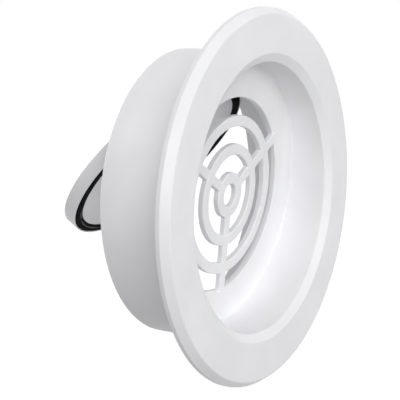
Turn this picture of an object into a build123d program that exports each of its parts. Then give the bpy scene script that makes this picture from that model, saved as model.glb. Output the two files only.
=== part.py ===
from build123d import *
from math import cos, radians, sin, sqrt
import os

os.makedirs("parts", exist_ok=True)

# Frame: front faces -Y, the duct lies along +Y, +Z is up, Y = 0 is the rear plane of the flange.

# Flange and spigot, sized from the outside of the spigot
spigot_r = 49.5
spigot_len = 30.6
spigot_wall = 2.2
recess_wall = 3.6
mouth_flare = 2.9
mouth_chamfer = 1.9
flange_w = 14.5
flange_t = 4.1
rim_bevel = 2.0
rim_land = 1.4
edge_r = 0.5
shoulder_r = 0.8
mouth_edge_r = 0.6
back_relief = 1.7
relief_wall = 2.4

# Inclined floor and ring grille
seat_tilt = 5.2
floor_depth = 16.1
floor_t = 2.0
floor_fillet = 0.6
ring_count = 3
ring_w = 3.85
hub_r = 7.95
hub_hole_r = 4.0
spoke_w = 3.5
spoke_count = 3
spoke_land = 1.0
spoke_drop = 0.1
bar_t = 2.0
bar_raise = 0.65
bar_edge_r = 0.45

# Hinge
flap_open = 37.6
hinge_drop = 6.3
hinge_reach = 2.9
hinge_back = 2.9
trunnion_r = 1.5
trunnion_clear = 0.05
trunnion_lead = 0.3
barrel_r = 2.2
barrel_half = 12.0
lug_gap = 0.25
lug_t = 2.5
lug_r = 3.0

# Flap and gasket, depths measured back from the front of the gasket
flap_back = 4.8
flap_draft = 0.7
flap_lip = 0.5
lip_front = 0.25
plate_front = 0.6
plate_t = 2.3
skirt_t = 1.6
gasket_w = 3.3
gasket_t = 1.9
gasket_clear = 0.05
gasket_edge_r = 0.8
tongue_front = 1.6
tongue_t = 2.6

# Seat ring behind the floor, under the middle of the gasket
seat_h = 1.3
seat_w = 1.4
seat_land = 0.8

# Radii from the flange inwards
front_y = -flange_t
flange_r = spigot_r + flange_w
face_r = flange_r - rim_bevel
bore_r = spigot_r - spigot_wall
wall_mid_r = spigot_r - spigot_wall / 2
recess_r = spigot_r - recess_wall
mouth_r = recess_r + mouth_flare
hinge_up = bore_r - hinge_drop
flap_r = hinge_up - hinge_reach
flap_front_r = flap_r - flap_draft
gasket_out_r = flap_front_r - flap_lip
gasket_in_r = gasket_out_r - gasket_w
seat_out_r = (gasket_in_r + gasket_out_r + seat_w) / 2
seat_in_r = seat_out_r - seat_w
opening_r = seat_in_r - seat_land
slot_w = (opening_r - hub_r - (ring_count - 1) * ring_w) / ring_count
ring_pitch = slot_w + ring_w


def leaning(origin, lean):
    """Plane whose normal points to the back, leaning so that its foot is further back."""
    return Plane(origin=origin, x_dir=(-1, 0, 0), z_dir=(0, cos(radians(lean)), sin(radians(lean))))


floor_plane = leaning((0, front_y + floor_depth, 0), seat_tilt)
floor_axis = Axis(floor_plane.origin, floor_plane.z_dir)
floor_section = Plane(origin=floor_plane.origin, x_dir=(1, 0, 0), z_dir=floor_plane.y_dir)
spoke_t = bar_t - spoke_drop
hub_mid_r = (hub_hole_r + hub_r) / 2
spoke_start = floor_plane.offset(spoke_drop - bar_raise).origin
spoke_planes = []
for spoke in range(spoke_count):
    turn = radians(spoke * 360 / spoke_count - 90)
    along = floor_plane.x_dir * cos(turn) + floor_plane.y_dir * sin(turn)
    across = floor_plane.y_dir * cos(turn) - floor_plane.x_dir * sin(turn)
    spoke_planes.append(Plane(origin=spoke_start + along * hub_mid_r, x_dir=across, z_dir=along))
seat_plane = floor_plane.offset(floor_t + seat_h)
hinge = seat_plane.from_local_coords(Vector(0, hinge_up, hinge_back))
flap_lean = leaning((0, 0, 0), seat_tilt + flap_open)
flap_origin = hinge - flap_lean.from_local_coords(Vector(0, hinge_up, hinge_back))
flap_plane = leaning(flap_origin, seat_tilt + flap_open)
flap_axis = Axis(flap_origin, flap_plane.z_dir)
flap_section = Plane(origin=flap_origin, x_dir=(1, 0, 0), z_dir=flap_plane.y_dir)
hinge_plane = Plane(origin=hinge, x_dir=(0, 1, 0), z_dir=(1, 0, 0))
lug_in = barrel_half + lug_gap
lug_out = lug_in + lug_t
lug_mid = (lug_in + lug_out) / 2
lug_height = sqrt(wall_mid_r**2 - lug_mid**2) - hinge.Z

# Housing: flange, spigot, inclined floor with the ring grille, seat ring and hinge lugs
with BuildPart() as housing:
    with BuildSketch(floor_section) as rings:
        with Locations(((opening_r + wall_mid_r) / 2, floor_t / 2)):
            Rectangle(wall_mid_r - opening_r, floor_t)
        for ring in range(1, ring_count):
            with Locations((opening_r - ring * ring_pitch + ring_w / 2, bar_t / 2 - bar_raise)):
                Rectangle(ring_w, bar_t)
        with Locations(((hub_hole_r + hub_r) / 2, bar_t / 2 - bar_raise)):
            Rectangle(hub_r - hub_hole_r, bar_t)
        fillet(rings.vertices().filter_by(lambda v: v.Y < edge_r and v.X < wall_mid_r - edge_r), bar_edge_r)
    revolve(axis=floor_axis)
    with BuildSketch(*spoke_planes) as spokes:
        with Locations((0, spoke_t / 2)):
            Rectangle(spoke_w, spoke_t)
        fillet(spokes.vertices().filter_by(lambda v: v.Y < edge_r), bar_edge_r)
    extrude(amount=opening_r + spoke_land - hub_mid_r)

    with BuildSketch(Plane.XY) as section:
        with BuildLine():
            Polyline(
                (recess_r, spigot_len),
                (recess_r, front_y + mouth_chamfer),
                (mouth_r, front_y),
                (face_r, front_y),
                (flange_r, -rim_land),
                (flange_r, 0),
                (flange_r - relief_wall, 0),
                (flange_r - relief_wall, -back_relief),
                (spigot_r, -back_relief),
                (spigot_r, spigot_len),
                close=True,
            )
        make_face()
        shoulder = section.vertices().filter_by(lambda v: v.X > spigot_r and v.Y < front_y + edge_r)
        fillet(shoulder, shoulder_r)
        rim_corner = section.vertices().filter_by(lambda v: v.X > face_r + edge_r and v.Y < -edge_r)
        fillet(rim_corner.sort_by(Axis.X)[-1], edge_r)
        mouth = section.vertices().filter_by(lambda v: v.X < spigot_r and v.Y < 0)
        fillet(mouth, mouth_edge_r)
    revolve(axis=Axis.Y)
    junction = housing.edges().filter_by(
        lambda e: abs(floor_plane.to_local_coords(e @ 0).Z) < edge_r / 100
        and abs(floor_plane.to_local_coords(e @ 0.5).Z) < edge_r / 100
        and floor_plane.to_local_coords(e @ 0.5).length > recess_r - edge_r
    )
    fillet(junction, floor_fillet)

    with BuildSketch(floor_plane.offset(floor_t)):
        Ellipse(bore_r, bore_r / cos(radians(seat_tilt)))
    extrude(amount=2 * spigot_len, dir=(0, 1, 0), mode=Mode.SUBTRACT)
    rim = housing.edges().filter_by(lambda e: abs((e @ 0).Y - spigot_len) < edge_r / 100)
    fillet(rim, edge_r)

    with BuildSketch(floor_plane.offset(floor_t)):
        Circle(seat_out_r)
        Circle(seat_in_r, mode=Mode.SUBTRACT)
    extrude(amount=seat_h)

    for side in (-1, 1):
        with BuildSketch(hinge_plane.offset(side * lug_mid)):
            Circle(lug_r)
            with Locations((0, lug_height / 2)):
                Rectangle(2 * lug_r, lug_height)
        extrude(amount=lug_t / 2, both=True)
    with BuildSketch(hinge_plane):
        Circle(trunnion_r + trunnion_clear)
    extrude(amount=lug_out, both=True, mode=Mode.SUBTRACT)
housing.part.label = "housing"
export_step(housing.part, "parts/housing.step")

# Flap: round plate with a rim, a groove for the gasket, and a tongue up to the hinge barrel
with BuildPart() as flap:
    with BuildSketch(flap_section):
        with BuildLine():
            Polyline(
                (0, plate_front),
                (gasket_in_r - gasket_clear, plate_front),
                (gasket_in_r - gasket_clear, gasket_t),
                (gasket_out_r + gasket_clear, gasket_t),
                (gasket_out_r + gasket_clear, lip_front),
                (flap_front_r, lip_front),
                (flap_r, flap_back),
                (flap_r - skirt_t, flap_back),
                (flap_r - skirt_t, plate_front + plate_t),
                (0, plate_front + plate_t),
                close=True,
            )
        make_face()
    revolve(axis=flap_axis)

    with BuildSketch(flap_plane.offset(tongue_front)):
        with Locations((0, hinge_up / 2)):
            Rectangle(2 * barrel_half, hinge_up)
        Circle((gasket_out_r + flap_front_r) / 2, mode=Mode.SUBTRACT)
    extrude(amount=tongue_t)

    with BuildSketch(hinge_plane):
        Circle(barrel_r)
    extrude(amount=barrel_half, both=True)

    with BuildSketch(hinge_plane):
        Circle(trunnion_r)
    extrude(amount=lug_out, both=True)
    tips = flap.faces().filter_by(Axis.X).filter_by(lambda f: abs(f.center().X) > lug_out - lug_gap)
    chamfer(tips.edges(), trunnion_lead)
flap.part.label = "flap"
export_step(flap.part, "parts/flap.step")

# Gasket: rubber ring in the groove of the flap, rounded where it meets the seat
with BuildPart() as gasket:
    with BuildSketch(flap_plane):
        Circle(gasket_out_r)
        Circle(gasket_in_r, mode=Mode.SUBTRACT)
    extrude(amount=gasket_t)
    front = gasket.faces().filter_by(GeomType.PLANE).sort_by(Axis(flap_origin, flap_plane.z_dir))[0]
    fillet(front.edges(), gasket_edge_r)
gasket.part.label = "gasket"
export_step(gasket.part, "parts/gasket.step")
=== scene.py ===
from math import cos, radians, sin
import bpy
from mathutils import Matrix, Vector


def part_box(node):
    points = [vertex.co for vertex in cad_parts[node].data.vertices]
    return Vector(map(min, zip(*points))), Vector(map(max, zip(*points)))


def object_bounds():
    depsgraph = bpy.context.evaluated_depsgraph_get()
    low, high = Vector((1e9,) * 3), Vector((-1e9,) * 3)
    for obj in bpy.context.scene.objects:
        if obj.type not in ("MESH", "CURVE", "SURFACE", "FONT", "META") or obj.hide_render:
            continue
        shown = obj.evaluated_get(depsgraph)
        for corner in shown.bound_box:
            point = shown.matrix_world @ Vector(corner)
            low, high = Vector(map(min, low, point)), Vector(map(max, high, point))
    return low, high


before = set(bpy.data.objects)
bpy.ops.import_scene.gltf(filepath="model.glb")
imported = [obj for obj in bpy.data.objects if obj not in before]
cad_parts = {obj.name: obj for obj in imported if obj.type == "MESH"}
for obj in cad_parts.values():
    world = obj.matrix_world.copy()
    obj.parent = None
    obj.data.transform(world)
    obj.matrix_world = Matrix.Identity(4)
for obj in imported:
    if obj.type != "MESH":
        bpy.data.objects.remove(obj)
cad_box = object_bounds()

# Housing: flange, duct spigot, sloping floor with the ring grille and hinge lugs, all one
# white ABS injection moulding. The mould is polished, so the faces are smooth with a soft
# gloss, and the melt leaves faint clouds where it flowed out from the hub.
ABS_WHITE = "F7F7F9"
ABS_CLOUD = "F2F2F4"
ABS_CLOUD_MM = 24.0
ABS_GRAIN_MM = 0.9
ABS_CLOUD_RAMP = (0.35, 0.65)
ABS_ROUGHNESS = (0.32, 0.38)
ABS_SPECULAR = 0.35
ABS_IOR = 1.53
NOISE_SPAN = (0.3, 0.7)


def linear(code):
    """An sRGB hex colour as linear RGBA."""
    channels = [int(code[i:i + 2], 16) / 255 for i in (0, 2, 4)]
    return [c / 12.92 if c <= 0.04045 else ((c + 0.055) / 1.055) ** 2.4 for c in channels] + [1.0]


def per_metre(size_mm):
    """Texture scale that gives features of this size, in object coordinates."""
    return 1000.0 / size_mm


def add_node(tree, kind, links=None, values=None, **settings):
    """One shader node with its settings, its plain input values and its links from other nodes."""
    new = tree.nodes.new(kind)
    for name, value in settings.items():
        setattr(new, name, value)
    for name, value in (values or {}).items():
        new.inputs[name].default_value = value
    for name, source in (links or {}).items():
        tree.links.new(source, new.inputs[name])
    return new


# White ABS reads as a cool, even white. The clouds shift colour and gloss by a few percent, and
# the mould's fine grain, really about 0.1 mm, is drawn coarser so that it shows in the gloss.
abs_moulding = bpy.data.materials.new("moulded_white_abs")
abs_moulding.use_nodes = True
tree = abs_moulding.node_tree
tree.nodes.clear()
place = add_node(tree, "ShaderNodeTexCoord")
clouds = add_node(tree, "ShaderNodeTexNoise", {"Vector": place.outputs["Object"]},
                  {"Scale": per_metre(ABS_CLOUD_MM), "Detail": 3.0, "Roughness": 0.5, "Distortion": 0.6})
grain = add_node(tree, "ShaderNodeTexNoise", {"Vector": place.outputs["Object"]},
                 {"Scale": per_metre(ABS_GRAIN_MM), "Detail": 2.0, "Roughness": 0.6})
tint = add_node(tree, "ShaderNodeValToRGB", {"Fac": clouds.outputs["Fac"]})
tint.color_ramp.elements[0].position = ABS_CLOUD_RAMP[0]
tint.color_ramp.elements[0].color = linear(ABS_CLOUD)
tint.color_ramp.elements[1].position = ABS_CLOUD_RAMP[1]
tint.color_ramp.elements[1].color = linear(ABS_WHITE)
gloss = add_node(tree, "ShaderNodeMapRange", {"Value": clouds.outputs["Fac"]},
                 {"From Min": NOISE_SPAN[0], "From Max": NOISE_SPAN[1],
                  "To Min": ABS_ROUGHNESS[0], "To Max": ABS_ROUGHNESS[1]})
skin = add_node(tree, "ShaderNodeBump", {"Height": grain.outputs["Fac"]},
                {"Strength": 0.10, "Distance": 0.00006})
plastic = add_node(tree, "ShaderNodeBsdfPrincipled",
                   {"Base Color": tint.outputs["Color"], "Roughness": gloss.outputs["Result"],
                    "Normal": skin.outputs["Normal"]},
                   {"IOR": ABS_IOR, "Specular IOR Level": ABS_SPECULAR})
add_node(tree, "ShaderNodeOutputMaterial", {"Surface": plastic.outputs["BSDF"]})
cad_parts["housing"].data.materials.clear()
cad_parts["housing"].data.materials.append(abs_moulding)

# Flap: a thin round plate with a rim and a hinge barrel, moulded in the same white ABS. Its two
# trunnions snap into the housing's lugs, and it swings freely on them.
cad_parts["flap"].data.materials.clear()
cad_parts["flap"].data.materials.append(abs_moulding)

# Gasket: a black EPDM rubber ring, rounded at the front, pressed into the groove of the flap.
# It meets the seat ring when the flap falls shut.
EPDM_BLACK = "1A1A1B"
EPDM_BLOOM = "29292A"
# Pale grey of the painted highlight on the inner shoulder of the ring.
EPDM_HIGHLIGHT = "9A9A98"
EPDM_BLOOM_MM = 7.0
EPDM_GRAIN_MM = 0.6
# Size of the patches that break up the painted highlight.
HIGHLIGHT_PATCH_MM = 5.0
EPDM_BLOOM_RAMP = (0.4, 0.75)
EPDM_ROUGHNESS = (0.6, 0.72)
EPDM_SPECULAR = 0.005
EPDM_IOR = 1.5
# Strength of the painted highlight, and the heights along the flap over which it fades out.
HIGHLIGHT_MOST = 0.75
HIGHLIGHT_HEIGHTS = (-0.026, -0.010)
HIGHLIGHT_PATCHES = (0.35, 0.55)
SHOULDER_RADIUS = 0.0347
SHOULDER_HALF = 0.00035
FLAP_LEAN = radians(42.8)
ring_low, ring_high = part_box("gasket")
ring_middle = (Vector(ring_low) + Vector(ring_high)) / 2
up_the_flap = (0.0, -sin(FLAP_LEAN), cos(FLAP_LEAN))

# Moulded EPDM is a deep dull black. A thin grey bloom lies on it in patches, a pale highlight is painted
# along the inner shoulder at the foot of the ring, broken into patches, and its fine matt grain is drawn
# coarser than the real one.
epdm = bpy.data.materials.new("moulded_epdm_rubber")
epdm.use_nodes = True
tree = epdm.node_tree
tree.nodes.clear()
place = add_node(tree, "ShaderNodeTexCoord")
bloom = add_node(tree, "ShaderNodeTexNoise", {"Vector": place.outputs["Object"]},
                 {"Scale": per_metre(EPDM_BLOOM_MM), "Detail": 4.0, "Roughness": 0.6})
grain = add_node(tree, "ShaderNodeTexNoise", {"Vector": place.outputs["Object"]},
                 {"Scale": per_metre(EPDM_GRAIN_MM), "Detail": 3.0, "Roughness": 0.6})
patches = add_node(tree, "ShaderNodeTexNoise", {"Vector": place.outputs["Object"]},
                   {"Scale": per_metre(HIGHLIGHT_PATCH_MM), "Detail": 2.0})
tint = add_node(tree, "ShaderNodeValToRGB", {"Fac": bloom.outputs["Fac"]})
tint.color_ramp.elements[0].position = EPDM_BLOOM_RAMP[0]
tint.color_ramp.elements[0].color = linear(EPDM_BLACK)
tint.color_ramp.elements[1].position = EPDM_BLOOM_RAMP[1]
tint.color_ramp.elements[1].color = linear(EPDM_BLOOM)
from_middle = add_node(tree, "ShaderNodeVectorMath", {0: place.outputs["Object"]}, {1: ring_middle},
                       operation="SUBTRACT")
height = add_node(tree, "ShaderNodeVectorMath", {0: from_middle.outputs["Vector"]}, {1: up_the_flap},
                  operation="DOT_PRODUCT")
across = add_node(tree, "ShaderNodeSeparateXYZ", {0: from_middle.outputs["Vector"]})
flat = add_node(tree, "ShaderNodeCombineXYZ", {"X": across.outputs["X"], "Y": height.outputs["Value"]})
radius = add_node(tree, "ShaderNodeVectorMath", {0: flat.outputs["Vector"]}, operation="LENGTH")
# Painted highlight: a thin line at the inner shoulder radius, strongest at the foot of the ring and
# broken into patches.
off_shoulder = add_node(tree, "ShaderNodeMath", {0: radius.outputs["Value"]}, {1: SHOULDER_RADIUS},
                        operation="SUBTRACT")
off_shoulder = add_node(tree, "ShaderNodeMath", {0: off_shoulder.outputs[0]}, operation="ABSOLUTE")
line = add_node(tree, "ShaderNodeMapRange", {"Value": off_shoulder.outputs[0]},
                {"From Min": 0.0, "From Max": SHOULDER_HALF, "To Min": 1.0, "To Max": 0.0})
foot = add_node(tree, "ShaderNodeMapRange", {"Value": height.outputs["Value"]},
                {"From Min": HIGHLIGHT_HEIGHTS[0], "From Max": HIGHLIGHT_HEIGHTS[1],
                 "To Min": HIGHLIGHT_MOST, "To Max": 0.0})
painted_highlight = add_node(tree, "ShaderNodeMath", {0: line.outputs["Result"], 1: foot.outputs["Result"]},
                operation="MULTIPLY")
spread = add_node(tree, "ShaderNodeMapRange", {"Value": patches.outputs["Fac"]},
                  {"From Min": HIGHLIGHT_PATCHES[0], "From Max": HIGHLIGHT_PATCHES[1]})
painted_highlight = add_node(tree, "ShaderNodeMath", {0: painted_highlight.outputs[0], 1: spread.outputs["Result"]},
                operation="MULTIPLY")
# Mixes the pale painted highlight into the black rubber colour.
highlighted = add_node(tree, "ShaderNodeMix", {0: painted_highlight.outputs[0], 6: tint.outputs["Color"]},
                  {7: linear(EPDM_HIGHLIGHT)}, data_type="RGBA")
gloss = add_node(tree, "ShaderNodeMapRange", {"Value": bloom.outputs["Fac"]},
                 {"From Min": NOISE_SPAN[0], "From Max": NOISE_SPAN[1],
                  "To Min": EPDM_ROUGHNESS[0], "To Max": EPDM_ROUGHNESS[1]})
skin = add_node(tree, "ShaderNodeBump", {"Height": grain.outputs["Fac"]},
                {"Strength": 0.25, "Distance": 0.00008})
rubber = add_node(tree, "ShaderNodeBsdfPrincipled",
                  {"Base Color": highlighted.outputs[2], "Roughness": gloss.outputs["Result"],
                   "Normal": skin.outputs["Normal"]},
                  {"IOR": EPDM_IOR, "Specular IOR Level": EPDM_SPECULAR})
add_node(tree, "ShaderNodeOutputMaterial", {"Surface": rubber.outputs["BSDF"]})
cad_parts["gasket"].data.materials.clear()
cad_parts["gasket"].data.materials.append(epdm)

# Floor: a plain white sheet that the flange stands on. Seen by the camera it is lifted to white,
# and it keeps the shadow of the valve.
FLOOR_WHITE = "9E9E9E"
FLOOR_HALF = 1.6
FLOOR_LIFT = 0.87
floor_z = cad_box[0][2]


def seen_rays(tree):
    """1 for rays from the camera, also by way of a mirror or glass, and 0 for the rest."""
    rays = add_node(tree, "ShaderNodeLightPath")
    seen = add_node(tree, "ShaderNodeMath", operation="MAXIMUM",
                    links={0: rays.outputs["Is Camera Ray"], 1: rays.outputs["Is Glossy Ray"]})
    return add_node(tree, "ShaderNodeMath", operation="MAXIMUM",
                    links={0: seen.outputs[0], 1: rays.outputs["Is Transmission Ray"]})


floor_mesh = bpy.data.meshes.new("floor")
floor_mesh.from_pydata(
    [(x * FLOOR_HALF, y * FLOOR_HALF, floor_z) for x, y in ((-1, -1), (1, -1), (1, 1), (-1, 1))],
    [], [(0, 1, 2, 3)])
floor = bpy.data.objects.new("floor", floor_mesh)
bpy.context.scene.collection.objects.link(floor)
paper = bpy.data.materials.new("matt_white_paper")
paper.use_nodes = True
tree = paper.node_tree
tree.nodes.clear()
seen = seen_rays(tree)
matt = add_node(tree, "ShaderNodeBsdfDiffuse", values={"Color": linear(FLOOR_WHITE)})
lift = add_node(tree, "ShaderNodeEmission", values={"Strength": FLOOR_LIFT})
lifted = add_node(tree, "ShaderNodeAddShader", {0: matt.outputs[0], 1: lift.outputs[0]})
sheet = add_node(tree, "ShaderNodeMixShader",
                 {0: seen.outputs[0], 1: matt.outputs[0], 2: lifted.outputs[0]})
add_node(tree, "ShaderNodeOutputMaterial", {"Surface": sheet.outputs[0]})
floor_mesh.materials.append(paper)

# Studio light: soft boxes at the left front and the front give most of it, weaker ones overhead
# and at the right fill the hollows, and those at the back light the inside of the spigot. The
# room is an even white that shows as white behind the valve.
ROOM_WHITE = "FFFFFF"
ROOM_LEVEL = 0.13
SOFT_BOX_SIZE = 1.6
SOFT_BOXES = (
    ("front_left", (-1.8, -1.4, 0.8), 31.0),
    ("front", (0.2, -2.4, 0.4), 13.2),
    ("front_low", (0.2, -2.4, 0.0), 9.2),
    ("top_front", (0.0, -1.4, 1.6), 4.9),
    ("overhead", (0.0, 0.0, 2.0), 8.3),
    ("right", (2.4, -0.6, 1.0), 4.2),
    ("rear", (0.2, 2.4, 0.4), 25.0),
    ("rear_left", (-1.2, 2.2, 1.2), 12.2),
)
for name, spot, watts in SOFT_BOXES:
    lamp = bpy.data.lights.new(name, "AREA")
    lamp.shape = "RECTANGLE"
    lamp.size = lamp.size_y = SOFT_BOX_SIZE
    lamp.energy = watts
    soft_box = bpy.data.objects.new(name, lamp)
    soft_box.location = spot
    soft_box.rotation_euler = (-Vector(spot)).to_track_quat("-Z", "Y").to_euler()
    bpy.context.scene.collection.objects.link(soft_box)
room = bpy.data.worlds.new("white_room")
bpy.context.scene.world = room
room.use_nodes = True
tree = room.node_tree
tree.nodes.clear()
seen = seen_rays(tree)
ambient = add_node(tree, "ShaderNodeBackground",
                   values={"Color": linear(ROOM_WHITE), "Strength": ROOM_LEVEL})
backdrop = add_node(tree, "ShaderNodeBackground", values={"Color": linear(ROOM_WHITE), "Strength": 1.0})
walls = add_node(tree, "ShaderNodeMixShader",
                 {0: seen.outputs[0], 1: ambient.outputs[0], 2: backdrop.outputs[0]})
add_node(tree, "ShaderNodeOutputWorld", {"Surface": walls.outputs[0]})

# Camera: at the left front, a little above the valve, at the viewing angle of the photograph.
LENS_MM = 109.4
SENSOR_MM = 36.0
CAMERA_SPOT = (-0.35606, -0.19384, 0.07097)
CAMERA_AIM = (0.8405, 0.5132, -0.1742)
camera_data = bpy.data.cameras.new("camera")
camera_data.sensor_width = SENSOR_MM
camera_data.lens = LENS_MM
camera = bpy.data.objects.new("camera", camera_data)
camera.location = CAMERA_SPOT
camera.rotation_euler = Vector(CAMERA_AIM).to_track_quat("-Z", "Y").to_euler()
bpy.context.scene.collection.objects.link(camera)
bpy.context.scene.camera = camera
bpy.context.scene.view_settings.view_transform = "Standard"
